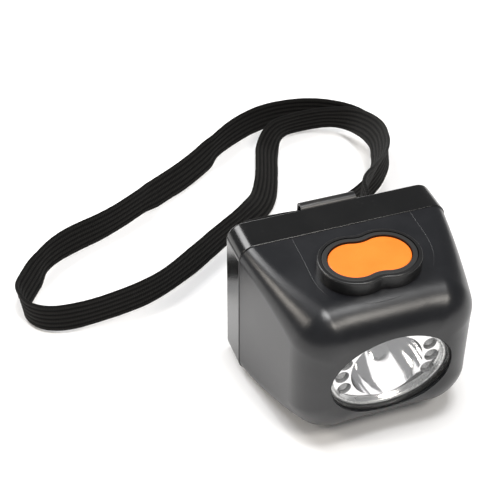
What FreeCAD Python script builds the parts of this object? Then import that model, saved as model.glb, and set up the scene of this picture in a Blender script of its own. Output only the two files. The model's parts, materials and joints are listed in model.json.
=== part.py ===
"""Cordless miner's cap lamp with an elastic headband, as a parametric assembly.

Every piece is drawn in the lamp's own frame: X across the lamp, Z up from the surface that it
stands on, Y = 0 at the rear face of the cover and Y negative towards the lens. Each finished
piece then gets a Placement that puts the origin under the middle of the lamp.
"""
import FreeCAD
import Part
import Sketcher
import math
import os

from FreeCAD import Rotation, Vector

DOC = FreeCAD.newDocument("cap_lamp")
SHEET = DOC.addObject("Spreadsheet::Sheet", "sizes")

# Driving dimensions in millimetres (angles in degrees, counts as numbers).
DIMENSIONS = {
    # housing and cover
    "lamp_width": 80.0,
    "lamp_height": 61.0,
    "cover_depth": 14.0,
    "cover_corner": 6.0,
    "cover_wall": 3.0,
    "housing_step": 0.3,
    "housing_wall": 2.5,
    "front_depth": 60.5,
    "front_wall": 3.0,
    "front_half_width": 31.8,
    "front_bottom": 5.0,
    "front_top": 58.4,
    "front_corner": 21.4,
    "brow_corner": 18.5,
    "middle_depth": 37.0,
    "middle_corner": 9.0,
    "front_round": 14.0,
    "gasket_inset": 1.0,
    "gasket_thick": 0.6,
    "screw_across": 35.8,
    "screw_up": 5.4,
    "screw_radius": 1.2,
    "screw_length": 19.0,
    "boss_radius": 2.7,
    "boss_length": 10.0,
    # window and optics
    "window_height": 30.4,
    "window_half_width": 22.8,
    "window_half_height": 17.2,
    "seal_thick": 0.5,
    "lens_depth": 59.0,
    "lens_thick": 1.2,
    "rim_depth": 57.6,
    "rim_width": 1.6,
    "rim_round": 0.75,
    "plate_depth": 56.0,
    "plate_thick": 3.0,
    "bowl_mouth": 13.6,
    "bowl_throat": 3.4,
    "bowl_wall": 0.8,
    "bowl_end": 38.0,
    "led_pitch": 16.9,
    "led_spread": 20.0,
    "led_radius": 2.5,
    "led_hole_radius": 2.6,
    # power key
    "key_depth": 35.6,
    "key_top": 63.9,
    "key_thick": 3.0,
    "key_lobe": 9.1,
    "key_offset": 5.9,
    "key_waist": 10.0,
    "key_gap": 0.25,
    "boot_width": 2.1,
    "bezel_gap": 0.15,
    "bezel_width": 1.45,
    "bezel_top": 64.5,
    "spigot_width": 0.7,
    # switch and boards
    "switch_board_top": 52.0,
    "switch_board_half": 24.0,
    "board_thick": 1.6,
    "post_radius": 2.5,
    "post_across": 21.0,
    # battery
    "cell_radius": 9.2,
    "cell_length": 65.0,
    "cell_depth": 13.6,
    "cell_height": 14.4,
    # cap clip
    "clip_half_width": 10.75,
    "clip_thick": 1.0,
    "clip_depth": 5.2,
    "clip_top": 61.0,
    "clip_low": 26.0,
    "clip_base_low": 31.0,
    # headband
    "band_width": 12.0,
    "band_thick": 1.5,
    "band_height": 50.5,
    "band_depth": 2.65,
    "band_half_in_clip": 11.5,
    "band_round": 5.0,
}


class Size:
    """A number together with the spreadsheet expression that gives it."""

    def __init__(self, number, text=None):
        self.number = float(number)
        self.text = text or repr(self.number)

    def combine(self, other, number, sign, turned=False):
        first, second = (other, self) if turned else (self, other)
        return Size(number, f"({first.text} {sign} {second.text})")

    def __add__(self, other):
        other = sized(other)
        return self.combine(other, self.number + other.number, "+")

    def __sub__(self, other):
        other = sized(other)
        return self.combine(other, self.number - other.number, "-")

    def __mul__(self, other):
        other = sized(other)
        return self.combine(other, self.number * other.number, "*")

    def __truediv__(self, other):
        other = sized(other)
        return self.combine(other, self.number / other.number, "/")

    def __rsub__(self, other):
        other = sized(other)
        return self.combine(other, other.number - self.number, "-", turned=True)

    def __neg__(self):
        return Size(-self.number, f"(0 - {self.text})")

    __radd__ = __add__
    __rmul__ = __mul__


def sized(value):
    return value if isinstance(value, Size) else Size(value)


class Sizes:
    """The spreadsheet's cells as attributes, such as s.lamp_width."""


s = Sizes()
for row, (alias, number) in enumerate(DIMENSIONS.items(), start=1):
    SHEET.set(f"A{row}", alias)
    SHEET.set(f"B{row}", str(number))
    SHEET.setAlias(f"B{row}", alias)
    setattr(s, alias, Size(number, f"sizes.{alias}"))
DOC.recompute()

# The origin lies under the middle of the lamp, its clip included.
REAR_FACE = (s.front_depth - s.clip_depth) / 2
PIECES = []
POSITIONS = {}


# ---------------------------------------------------------------- small building blocks

def bind(feature, **sizes):
    """Tie properties of a feature to expressions over the spreadsheet."""
    for name, size in sizes.items():
        feature.setExpression(name, sized(size).text)
    return feature


def put(feature, x=0, y=0, z=0, rotation=None):
    """Place a feature, with each coordinate tied to its expression."""
    position = [sized(value) for value in (x, y, z)]
    POSITIONS[feature.Name] = (position, rotation)
    base = Vector(*(value.number for value in position))
    feature.Placement = FreeCAD.Placement(base, rotation or Rotation())
    for axis, value in zip("xyz", position):
        feature.setExpression(f"Placement.Base.{axis}", value.text)
    return feature


def piece(label, feature):
    """Register a finished sub-part under its own label, moved into the shared frame."""
    (x, y, z), rotation = POSITIONS.get(feature.Name, ((0, 0, 0), None))
    put(feature, x, REAR_FACE + y, z, rotation)
    feature.Label = label
    PIECES.append(feature)
    return feature


def box(name, length, width, height, x=0, y=0, z=0):
    """A block centred on x, from y and z on towards the rear and up."""
    feature = bind(DOC.addObject("Part::Box", name), Length=length, Width=width, Height=height)
    return put(feature, x - sized(length) / 2, y, z)


ALONG_Y = Rotation(Vector(1, 0, 0), -90)  # a cylinder's axis turned from +Z to +Y
ALONG_X = Rotation(Vector(0, 1, 0), 90)


def cylinder(name, radius, length, x=0, y=0, z=0, rotation=None):
    feature = bind(DOC.addObject("Part::Cylinder", name), Radius=radius, Height=length)
    return put(feature, x, y, z, rotation)


def fuse(name, *features):
    feature = DOC.addObject("Part::MultiFuse", name)
    feature.Shapes = list(features)
    return feature


def cut(name, base, *tools):
    feature = DOC.addObject("Part::Cut", name)
    feature.Base = base
    feature.Tool = tools[0] if len(tools) == 1 else fuse(name + "_tools", *tools)
    return feature


def group(name, *features):
    """Several like solids in one sub-part."""
    feature = DOC.addObject("Part::Compound", name)
    feature.Links = list(features)
    return feature


def oval_prism(name, half_width, half_height, front_depth, length):
    """An upright oval block whose front face is front_depth ahead of the rear face."""
    oval = DOC.addObject("Part::Ellipse", name + "_outline")
    bind(oval, MajorRadius=half_width, MinorRadius=half_height)
    put(oval, 0, -sized(front_depth), s.window_height, ALONG_Y)
    prism = DOC.addObject("Part::Extrusion", name)
    prism.Base = oval
    prism.DirMode = "Custom"
    prism.Dir = Vector(0, 1, 0)
    prism.Solid = True
    return bind(prism, LengthFwd=length)


def new_body(name):
    return DOC.addObject("PartDesign::Body", name)


def new_sketch(body, name, plane_role, offset):
    """A sketch on one of the body's own origin planes, moved along its normal."""
    sketch = body.newObject("Sketcher::SketchObject", name)
    plane = next(f for f in body.Origin.OriginFeatures if f.Role == plane_role)
    sketch.AttachmentSupport = [(plane, "")]
    sketch.MapMode = "FlatFace"
    sketch.AttachmentOffset = FreeCAD.Placement(Vector(0, 0, sized(offset).number), Rotation())
    sketch.setExpression("AttachmentOffset.Base.z", sized(offset).text)
    return sketch


def drive(sketch, kind, *where, size):
    """A dimension of the sketch, tied to its expression."""
    index = sketch.addConstraint(Sketcher.Constraint(kind, *where, size.number))
    sketch.setExpression(f"Constraints[{index}]", size.text)


UP = Vector(0, 0, 1)
ORIGIN = (-1, 1)
X_AXIS = -1


def arc(centre_x, centre_y, radius, start, end):
    """A sketch arc, counter-clockwise from start to end in radians."""
    return Part.ArcOfCircle(Part.Circle(Vector(centre_x, centre_y, 0), UP, radius), start, end)


def rounded_rectangle(body, name, depth, half_width, bottom, top, radius, low_radius=None):
    """An upright rectangle with round corners at y = -depth, even about the middle plane."""
    low_radius = low_radius or radius
    sketch = new_sketch(body, name, "XZ_Plane", depth)
    w, b, t = half_width.number, bottom.number, top.number
    r, low = radius.number, low_radius.number
    quarter = math.pi / 2
    sketch.addGeometry([
        Part.LineSegment(Vector(w - r, t, 0), Vector(r - w, t, 0)),
        arc(r - w, t - r, r, quarter, 2 * quarter),
        Part.LineSegment(Vector(-w, t - r, 0), Vector(-w, b + low, 0)),
        arc(low - w, b + low, low, 2 * quarter, 3 * quarter),
        Part.LineSegment(Vector(low - w, b, 0), Vector(w - low, b, 0)),
        arc(w - low, b + low, low, 3 * quarter, 4 * quarter),
        Part.LineSegment(Vector(w, b + low, 0), Vector(w, t - r, 0)),
        arc(w - r, t - r, r, 0, quarter),
    ], False)
    for edge in range(8):
        following = (edge + 1) % 8
        sketch.addConstraint(Sketcher.Constraint("Tangent", edge, 2, following, 1))
    sketch.addConstraint(Sketcher.Constraint("Equal", 1, 7))
    sketch.addConstraint(Sketcher.Constraint("Equal", 3, 5))
    sketch.addConstraint(Sketcher.Constraint("Horizontal", 0))
    sketch.addConstraint(Sketcher.Constraint("Horizontal", 4))
    sketch.addConstraint(Sketcher.Constraint("Vertical", 2))
    sketch.addConstraint(Sketcher.Constraint("Vertical", 6))
    drive(sketch, "Radius", 1, size=radius)
    drive(sketch, "Radius", 3, size=low_radius)
    drive(sketch, "DistanceX", *ORIGIN, 6, 1, size=half_width)
    drive(sketch, "DistanceX", 2, 1, *ORIGIN, size=half_width)
    drive(sketch, "DistanceY", *ORIGIN, 0, 1, size=top)
    if bottom.number:
        drive(sketch, "DistanceY", *ORIGIN, 4, 1, size=bottom)
    else:
        sketch.addConstraint(Sketcher.Constraint("PointOnObject", 4, 1, X_AXIS))
    return sketch


def figure_eight(body, name, height, outset):
    """The power key's outline grown by outset: two lobes joined by hollow waist arcs."""
    sketch = new_sketch(body, name, "XY_Plane", height)
    lobe, waist, offset = s.key_lobe + outset, s.key_waist - outset, s.key_offset
    reach = lobe.number + waist.number
    waist_y = math.sqrt(reach ** 2 - offset.number ** 2)
    lean = math.atan2(waist_y, offset.number)  # from a waist centre towards a lobe centre
    sketch.addGeometry([
        arc(offset.number, 0, lobe.number, lean - math.pi, math.pi - lean),
        arc(0, waist_y, waist.number, lean - math.pi, -lean),
        arc(-offset.number, 0, lobe.number, lean, 2 * math.pi - lean),
        arc(0, -waist_y, waist.number, lean, math.pi - lean),
    ], False)
    for first, first_end, second, second_end in ((0, 2, 1, 2), (1, 1, 2, 1), (2, 2, 3, 2), (3, 1, 0, 1)):
        joint = Sketcher.Constraint("Tangent", first, first_end, second, second_end)
        sketch.addConstraint(joint)
    for centre in (0, 2):
        sketch.addConstraint(Sketcher.Constraint("PointOnObject", centre, 3, X_AXIS))
    sketch.addConstraint(Sketcher.Constraint("Equal", 0, 2))
    drive(sketch, "Radius", 0, size=lobe)
    drive(sketch, "Radius", 1, size=waist)
    drive(sketch, "Radius", 3, size=waist)
    drive(sketch, "DistanceX", *ORIGIN, 0, 3, size=offset)
    drive(sketch, "DistanceX", 2, 3, *ORIGIN, size=offset)
    return sketch


def pad(body, name, sketch, length):
    feature = body.newObject("PartDesign::Pad", name)
    feature.Profile = sketch
    return bind(feature, Length=length)


def pocket(body, name, sketch, length):
    """Cut the sketch's outline from its plane towards the solid's side of it."""
    DOC.recompute()
    before = body.Shape.Volume
    feature = body.newObject("PartDesign::Pocket", name)
    feature.Profile = sketch
    bind(feature, Length=length)
    DOC.recompute()
    if feature.Shape.Volume > before - 1e-6:
        feature.Reversed = True
        DOC.recompute()
    return feature


def edges_at(shape, test):
    """The names of a shape's edges whose points all pass the test."""
    names = []
    for number, edge in enumerate(shape.Edges, start=1):
        if all(test(point) for point in edge.discretize(7)):
            names.append(f"Edge{number}")
    return names


def fillet(body, name, base, test, radius):
    DOC.recompute()
    feature = body.newObject("PartDesign::Fillet", name)
    feature.Base = (base, edges_at(base.Shape, test))
    return bind(feature, Radius=radius)


def eight_body(name, outset, bottom, top):
    """An upright figure-eight block between two heights."""
    body = new_body(name)
    sketch = figure_eight(body, name + "_outline", bottom, outset)
    pad(body, name + "_pad", sketch, top - bottom)
    return put(body, 0, -s.key_depth, 0)


# ---------------------------------------------------------------- front housing

def housing_block(name, inset, front_depth):
    """The housing's tapering block, shrunk by inset, with its front edges rounded over.

    Its sides are straight from the cover to the front, and its corners open slowly at first.
    """
    body = new_body(name)
    step = s.housing_step + inset
    taper = (s.middle_depth - s.cover_depth) / (s.front_depth - s.cover_depth)
    rear_half, rear_top = s.lamp_width / 2 - step, s.lamp_height - step
    front_half, front_low = s.front_half_width - inset, s.front_bottom + inset
    rear = rounded_rectangle(body, name + "_rear", s.cover_depth, rear_half, step, rear_top,
                             s.cover_corner - inset / 2)
    middle = rounded_rectangle(body, name + "_middle", s.middle_depth,
                               rear_half + (front_half - rear_half) * taper,
                               step + (front_low - step) * taper,
                               rear_top + (s.front_top - inset - rear_top) * taper,
                               s.middle_corner - inset / 2)
    front = rounded_rectangle(body, name + "_front", front_depth, front_half, front_low,
                              s.front_top - inset, s.brow_corner - inset,
                              s.front_corner - inset)
    loft = body.newObject("PartDesign::AdditiveLoft", name + "_loft")
    loft.Profile = rear
    loft.Sections = [middle, front]
    fillet(body, name + "_round", loft,
           lambda point: abs(point.y + front_depth.number) < 1e-4, s.front_round - inset)
    return body


outer = housing_block("housing_outer", sized(0), s.front_depth)
core = housing_block("housing_core", s.housing_wall, s.front_depth - s.front_wall)

collar = oval_prism("window_collar", s.window_half_width + 1.6, s.window_half_height + 1.6,
                    s.front_depth - s.front_wall + 0.5, 7.0)
SHELF_DEPTH = s.plate_depth - s.plate_thick - 0.6
window = oval_prism("window_bore", s.window_half_width, s.window_half_height,
                    s.front_depth + 1, s.front_depth + 1 - SHELF_DEPTH)
shelf = oval_prism("window_shelf", s.window_half_width - 1.5, s.window_half_height - 1.5,
                   s.front_depth, 12.0)

corner_places = [(side * s.screw_across, height)
                 for side in (-1, 1) for height in (s.screw_up, s.lamp_height - s.screw_up)]
bosses = fuse("housing_bosses", *(
    cylinder(f"housing_boss_{i}", s.boss_radius, s.boss_length, x,
             -s.cover_depth - s.boss_length, z, ALONG_Y)
    for i, (x, z) in enumerate(corner_places)))
trimmed = DOC.addObject("Part::Common", "bosses_in_housing")
trimmed.Base = bosses
trimmed.Tool = outer
pilots = [cylinder(f"pilot_{i}", s.screw_radius + 0.05, s.boss_length, x,
                   -s.cover_depth - s.boss_length + 1, z, ALONG_Y)
          for i, (x, z) in enumerate(corner_places)]

posts = [cylinder(f"switch_post_{i}", s.post_radius, s.front_top - 1 - s.switch_board_top,
                  side * s.post_across, -s.key_depth, s.switch_board_top)
         for i, side in enumerate((-1, 1))]
post_pilots = [cylinder(f"switch_pilot_{i}", 0.85, 4.0, side * s.post_across, -s.key_depth,
                        s.switch_board_top - 0.5) for i, side in enumerate((-1, 1))]
SPIGOT = s.boot_width + s.bezel_gap + s.spigot_width
key_opening = eight_body("key_opening", SPIGOT + 0.05, sized(54), sized(66))

shell = cut("housing_shell", outer, core)
stiffened = fuse("housing_stiffened", shell, collar, trimmed, *posts)
front_housing = cut("front_housing", stiffened, window, shelf, key_opening, *pilots, *post_pilots)
piece("front_housing", front_housing)

# ---------------------------------------------------------------- rear cover and its seal

cover = new_body("rear_cover")
cover_outline = rounded_rectangle(cover, "cover_outline", sized(0), s.lamp_width / 2, sized(0),
                                  s.lamp_height, s.cover_corner)
pad(cover, "cover_pad", cover_outline, s.cover_depth)
inside = rounded_rectangle(cover, "cover_inside", s.cover_depth, s.lamp_width / 2 - s.cover_wall,
                           s.cover_wall, s.lamp_height - s.cover_wall, sized(1.5))
pocket(cover, "cover_hollow", inside, s.cover_depth - s.cover_wall)
rebate = rounded_rectangle(cover, "cover_rebate", s.cover_depth,
                           s.lamp_width / 2 - s.gasket_inset, s.gasket_inset,
                           s.lamp_height - s.gasket_inset, s.cover_corner - s.gasket_inset)
pocket(cover, "gasket_rebate", rebate, s.gasket_thick)
fillet(cover, "cover_rear_edge", cover.Tip, lambda point: abs(point.y) < 1e-4, sized(1.2))


def on_cover_lip(point):
    """Whether a point is on the outer edge of the cover's mouth."""
    corner = s.cover_corner.number
    across = max(abs(point.x) - s.lamp_width.number / 2 + corner, 0)
    up = max(abs(point.z - s.lamp_height.number / 2) - s.lamp_height.number / 2 + corner, 0)
    return abs(point.y + s.cover_depth.number) < 1e-4 and math.hypot(across, up) > corner - 0.05


fillet(cover, "cover_lip_edge", cover.Tip, on_cover_lip, sized(0.35))

cover_posts = fuse("cover_posts", *(
    cylinder(f"cover_post_{i}", s.boss_radius + 0.4, s.cover_depth - s.cover_wall + 1 - s.gasket_thick,
             x, s.gasket_thick - s.cover_depth, z, ALONG_Y)
    for i, (x, z) in enumerate(corner_places)))
posts_in_cover = DOC.addObject("Part::Common", "posts_in_cover")
posts_in_cover.Base = cover_posts
posts_in_cover.Tool = box("cover_limits", s.lamp_width - 2, s.cover_depth, s.lamp_height - 2,
                          0, -s.cover_depth, 1)
board_places = [(side * 26, height) for side in (-1, 1) for height in (33, 51)]
board_posts = [cylinder(f"board_post_{i}", 2.2, 2.9, x, -5.4, z, ALONG_Y)
               for i, (x, z) in enumerate(board_places)]
board_pilots = [cylinder(f"board_pilot_{i}", 0.85, 2.6, x, -5.5, z, ALONG_Y)
                for i, (x, z) in enumerate(board_places)]
screw_holes = [cylinder(f"screw_hole_{i}", s.screw_radius + 0.15, 20, x, -18, z, ALONG_Y)
               for i, (x, z) in enumerate(corner_places)]
head_holes = [cylinder(f"head_hole_{i}", 2.2, 3, x, -1.8, z, ALONG_Y)
              for i, (x, z) in enumerate(corner_places)]
contact_places = [(side * 16, 27) for side in (-1, 1)]
contact_holes = [cylinder(f"contact_hole_{i}", 2.0, 6, x, -5, z, ALONG_Y)
                 for i, (x, z) in enumerate(contact_places)]
contact_seats = [cylinder(f"contact_seat_{i}", 3.0, 2, x, -1.0, z, ALONG_Y)
                 for i, (x, z) in enumerate(contact_places)]
rivet_places = [(side * 6, 36) for side in (-1, 1)]
rivet_holes = [cylinder(f"rivet_hole_{i}", 1.25, 6, x, -5, z, ALONG_Y)
               for i, (x, z) in enumerate(rivet_places)]
cover_solid = cut("rear_cover_solid", fuse("cover_with_posts", cover, posts_in_cover, *board_posts),
                  *board_pilots, *screw_holes, *head_holes, *contact_holes, *contact_seats,
                  *rivet_holes)
cover.Label = "cover_shell"
piece("rear_cover", cover_solid)

gasket = new_body("gasket_body")
gasket_outline = rounded_rectangle(gasket, "gasket_outline", s.cover_depth - s.gasket_thick,
                                   s.lamp_width / 2 - s.gasket_inset - 0.05, s.gasket_inset + 0.05,
                                   s.lamp_height - s.gasket_inset - 0.05,
                                   s.cover_corner - s.gasket_inset - 0.05)
pad(gasket, "gasket_pad", gasket_outline, s.gasket_thick)
gasket_inside = rounded_rectangle(gasket, "gasket_inside", s.cover_depth,
                                  s.lamp_width / 2 - s.cover_wall, s.cover_wall,
                                  s.lamp_height - s.cover_wall, sized(1.5))
pocket(gasket, "gasket_hole", gasket_inside, s.gasket_thick)
gasket_posts = [cylinder(f"gasket_post_{i}", s.screw_radius + 0.15, 2, x, -s.cover_depth - 1, z,
                         ALONG_Y) for i, (x, z) in enumerate(corner_places)]
piece("cover_gasket", cut("cover_gasket", gasket, *gasket_posts))


def screw(name, x, y, z, shank, length, head, head_length, rotation):
    """A screw from its head's outer face, with a cross recess in the head."""
    body = cylinder(name + "_shank", shank, length)
    cap = cylinder(name + "_head", head, head_length, 0, 0, length - head_length)
    width = head * 0.25
    bars = [box(f"{name}_slot_{i}", *sides, 0, -sides[1] / 2, length - head_length * 0.55)
            for i, sides in enumerate(((head * 1.3, width, sized(5)), (width, head * 1.3, sized(5))))]
    whole = cut(name, fuse(name + "_solid", body, cap), *bars)
    return put(whole, x, y, z, rotation)


piece("cover_screws", group("cover_screws", *(
    screw(f"cover_screw_{i}", x, -s.screw_length - 0.2, z, s.screw_radius, s.screw_length,
          sized(2.1), sized(1.5), ALONG_Y) for i, (x, z) in enumerate(corner_places))))

# ---------------------------------------------------------------- lens, seal and reflector

lens_edge = s.seal_thick + 0.05
seal_outer = oval_prism("seal_outer", s.window_half_width - 0.03, s.window_half_height - 0.03,
                        s.lens_depth + 0.2, s.lens_depth + 0.2 - SHELF_DEPTH)
seal_inner = oval_prism("seal_inner", s.window_half_width - s.seal_thick,
                        s.window_half_height - s.seal_thick, s.lens_depth + 1,
                        s.lens_depth + 1 - s.plate_depth + s.plate_thick)
seal_hole = oval_prism("seal_hole", s.window_half_width - 1.4, s.window_half_height - 1.4,
                       s.lens_depth, 8.0)
piece("lens_seal", cut("lens_seal", seal_outer, seal_inner, seal_hole))

lens_block = oval_prism("lens_block", s.window_half_width - lens_edge,
                        s.window_half_height - lens_edge, s.lens_depth, s.lens_thick)
piece("lens", lens_block)

plate = oval_prism("reflector_plate", s.window_half_width - lens_edge,
                   s.window_half_height - lens_edge, s.rim_depth,
                   s.rim_depth - s.plate_depth + s.plate_thick)
dish = oval_prism("reflector_dish", s.window_half_width - lens_edge - s.rim_width,
                  s.window_half_height - lens_edge - s.rim_width, s.rim_depth + 1,
                  s.rim_depth + 1 - s.plate_depth)
dished = cut("reflector_dished", plate, dish)
DOC.recompute()
rimmed = DOC.addObject("Part::Fillet", "reflector_rimmed")
rimmed.Base = dished
rimmed.Edges = [
    (number, s.rim_round.number, s.rim_round.number)
    for number, edge in enumerate(dished.Shape.Edges, start=1)
    if all(abs(p.y + s.rim_depth.number) < 1e-4 for p in edge.discretize(5))]


def bowl_turned(name, growth, front_extra):
    """The reflector bowl as a turned body: an arc from its mouth to its throat."""
    body = new_body(name)
    sketch = new_sketch(body, name + "_profile", "XY_Plane", 0)
    mouth, throat = s.bowl_mouth + growth, s.bowl_throat + growth
    front, back = s.plate_depth + front_extra, s.bowl_end
    m, t, f, b = mouth.number, throat.number, front.number, back.number
    bulge = Vector((m + t) / 2 + 1.7, -(f + b) / 2 + 1.6, 0)
    curve = Part.Arc(Vector(t, -b, 0), bulge, Vector(m, -f, 0))
    sketch.addGeometry([
        curve,
        Part.LineSegment(Vector(m, -f, 0), Vector(0, -f, 0)),
        Part.LineSegment(Vector(0, -f, 0), Vector(0, -b, 0)),
        Part.LineSegment(Vector(0, -b, 0), Vector(t, -b, 0)),
    ], False)
    throat_first = sketch.getPoint(0, 1).y > sketch.getPoint(0, 2).y
    throat_end, mouth_end = (1, 2) if throat_first else (2, 1)
    sketch.addConstraint(Sketcher.Constraint("Coincident", 0, mouth_end, 1, 1))
    sketch.addConstraint(Sketcher.Constraint("Coincident", 1, 2, 2, 1))
    sketch.addConstraint(Sketcher.Constraint("Coincident", 2, 2, 3, 1))
    sketch.addConstraint(Sketcher.Constraint("Coincident", 3, 2, 0, throat_end))
    sketch.addConstraint(Sketcher.Constraint("Horizontal", 1))
    sketch.addConstraint(Sketcher.Constraint("Horizontal", 3))
    sketch.addConstraint(Sketcher.Constraint("PointOnObject", 1, 2, -2))
    sketch.addConstraint(Sketcher.Constraint("PointOnObject", 2, 2, -2))
    drive(sketch, "DistanceX", *ORIGIN, 1, 1, size=mouth)
    drive(sketch, "DistanceX", *ORIGIN, 3, 2, size=throat)
    drive(sketch, "DistanceY", 1, 1, *ORIGIN, size=front)
    drive(sketch, "DistanceY", 3, 2, *ORIGIN, size=back)
    drive(sketch, "Radius", 0, size=Size(sketch.Geometry[0].Radius))
    turned = body.newObject("PartDesign::Revolution", name + "_turned")
    turned.Profile = sketch
    turned.ReferenceAxis = (sketch, ["V_Axis"])
    turned.Angle = 360
    return put(body, 0, 0, s.window_height)


bowl_outside = bowl_turned("bowl_outside", s.bowl_wall, sized(-0.5))
bowl_inside = bowl_turned("bowl_inside", sized(0), sized(0))
mouth_cut = cylinder("bowl_mouth_cut", s.bowl_mouth, 2, 0, -s.plate_depth - 1.99, s.window_height,
                     ALONG_Y)
led_angles = [side * s.led_spread.number * step for side, step in ((1, 1), (1, 0), (1, -1))]
led_places = []
for side in (-1, 1):
    for angle in led_angles:
        led_places.append((side * s.led_pitch * math.cos(math.radians(angle)),
                           s.window_height + s.led_pitch * math.sin(math.radians(angle))))
led_holes = [cylinder(f"led_hole_{i}", s.led_hole_radius, 8, x, -s.plate_depth - 1, z, ALONG_Y)
             for i, (x, z) in enumerate(led_places)]
SINK_FRONT = s.bowl_end - 1.8
lugs = [cylinder(f"reflector_lug_{i}", 2.0, s.plate_depth - s.plate_thick - SINK_FRONT, side * 11.2,
                 s.plate_thick - s.plate_depth, s.window_height, ALONG_Y)
        for i, side in enumerate((-1, 1))]
pegs = [cylinder(f"board_peg_{side}_{up}", 1.0, s.plate_depth - s.plate_thick - 50, side * 19.5,
                 s.plate_thick - s.plate_depth, s.window_height + up * 3.6, ALONG_Y)
        for side in (-1, 1) for up in (-1, 1)]
lug_pilots = [cylinder(f"lug_pilot_{i}", 0.85, 6.5, side * 11.2, -SINK_FRONT - 6, s.window_height,
                       ALONG_Y) for i, side in enumerate((-1, 1))]
reflector = cut("reflector", fuse("reflector_solid", rimmed, bowl_outside, *lugs, *pegs),
                bowl_inside, mouth_cut, *led_holes, *lug_pilots)
piece("reflector", reflector)

# ---------------------------------------------------------------- lamps and heat sink

emitter = box("emitter_base", 3.5, 1.5, 3.5, 0, -s.bowl_end - 1.3, s.window_height - 1.75)
dome = bind(DOC.addObject("Part::Sphere", "emitter_dome"), Radius=1.4)
put(dome, 0, -s.bowl_end - 1.2, s.window_height)
piece("main_led", fuse("main_led", emitter, dome))
piece("led_star_board", cylinder("led_star_board", 8.4, 1.6, 0, -s.bowl_end + 0.2, s.window_height,
                                 ALONG_Y))

sink_base = box("sink_base", 28, 3.0, 24, 0, -SINK_FRONT, s.window_height - 12)
fins = [box(f"sink_fin_{i}", 28, 5.2, 1.2, 0, -SINK_FRONT + 2.9, s.window_height - 12 + i * 4.56)
        for i in range(6)]
sink_holes = [cylinder(f"sink_hole_{i}", 1.1, 12, side * 11.2, -SINK_FRONT - 1, s.window_height,
                       ALONG_Y) for i, side in enumerate((-1, 1))]
sink_head_room = [cylinder(f"sink_head_room_{i}", 2.2, 8, side * 11.2, -SINK_FRONT + 3,
                           s.window_height, ALONG_Y) for i, side in enumerate((-1, 1))]
piece("heat_sink", cut("heat_sink", fuse("heat_sink_solid", sink_base, *fins), *sink_holes,
                       *sink_head_room))
piece("led_module_screws", group("led_module_screws", *(
    screw(f"module_screw_{i}", side * 11.2, -SINK_FRONT - 4.4, s.window_height, sized(0.8),
          sized(8.8), sized(1.9), sized(1.3), ALONG_Y) for i, side in enumerate((-1, 1)))))

for number, (x, z) in enumerate(led_places, start=1):
    name = f"aux_led_{number}"
    tube = cylinder(name + "_tube", s.led_radius, 2.0, x, -s.plate_depth + 2.9, z, ALONG_Y)
    nose = bind(DOC.addObject("Part::Sphere", name + "_nose"), Radius=s.led_radius)
    put(nose, x, -s.plate_depth + 2.9, z)
    rim = cylinder(name + "_rim", s.led_radius + 0.2, 1.0, x, -s.plate_depth + 3.1, z, ALONG_Y)
    legs = [cylinder(f"{name}_leg_{i}", 0.3, 4.5, x + side * 1.27, -s.plate_depth + 4.0, z, ALONG_Y)
            for i, side in enumerate((-1, 1))]
    piece(name, fuse(name, tube, nose, rim, *legs))

for side, word in ((-1, "left"), (1, "right")):
    board = box(f"aux_board_{word}", 7.4, 1.2, 23.0, side * 17.3, -50.0, s.window_height - 11.5)
    leg_holes = [cylinder(f"aux_hole_{word}_{i}", 0.4, 4, x + leg * 1.27, -52, z, ALONG_Y)
                 for i, (x, z) in enumerate(led_places) if x.number * side > 0 for leg in (-1, 1)]
    piece(f"aux_led_board_{word}", cut(f"aux_led_board_{word}", board, *leg_holes))

# ---------------------------------------------------------------- power key and switch

BOOT = s.boot_width
RING = BOOT + s.bezel_gap
bezel_ring = new_body("bezel_ring")
ring_outline = figure_eight(bezel_ring, "ring_outline", s.front_top - 2, RING + s.bezel_width)
ring_pad = pad(bezel_ring, "ring_pad", ring_outline, s.bezel_top - s.front_top + 2)
fillet(bezel_ring, "ring_edge", ring_pad,
       lambda point: abs(point.z - s.bezel_top.number) < 1e-4, sized(0.6))
put(bezel_ring, 0, -s.key_depth, 0)
above_panel = cut("bezel_above_panel", bezel_ring, outer)
spigot = eight_body("bezel_spigot", SPIGOT, s.front_top - 2.4, s.bezel_top - 1)
bezel_bore = eight_body("bezel_bore", RING, s.front_top - 6, s.bezel_top + 1)
piece("button_bezel", cut("button_bezel", fuse("bezel_solid", above_panel, spigot), bezel_bore))

boot_block = new_body("boot_block")
boot_outline = figure_eight(boot_block, "boot_outline", s.front_top - 2.4, BOOT)
boot_pad = pad(boot_block, "boot_pad", boot_outline, s.bezel_top - 0.1 - s.front_top + 2.4)
fillet(boot_block, "boot_edge", boot_pad,
       lambda point: abs(point.z - s.bezel_top.number + 0.1) < 1e-4, sized(0.4))
put(boot_block, 0, -s.key_depth, 0)
LEDGE = s.front_top - 1.2
key_well = eight_body("key_well", s.key_gap, LEDGE, s.bezel_top + 1)
stem_hole = cylinder("stem_hole", 3.2, 6, 0, -s.key_depth, s.front_top - 5)
piece("button_boot", cut("button_boot", boot_block, key_well, stem_hole))

key_cap = new_body("key_cap")
key_outline = figure_eight(key_cap, "key_outline", s.key_top - s.key_thick, sized(0))
key_pad = pad(key_cap, "key_pad", key_outline, s.key_thick)
fillet(key_cap, "key_edge", key_pad, lambda point: abs(point.z - s.key_top.number) < 1e-4,
       sized(0.5))
put(key_cap, 0, -s.key_depth, 0)
STEM_END = s.switch_board_top + 4 + 1.35
stem = cylinder("key_stem", 2.5, s.key_top - 1 - STEM_END, 0, -s.key_depth, STEM_END)
piece("power_key", fuse("power_key", key_cap, stem))

pad_ring = cylinder("return_pad_ring", 6.0, s.key_top - s.key_thick - LEDGE, 0, -s.key_depth, LEDGE)
pad_hole = cylinder("return_pad_hole", 3.4, 8, 0, -s.key_depth, LEDGE - 1)
piece("key_return_pad", cut("key_return_pad", pad_ring, pad_hole))

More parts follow.
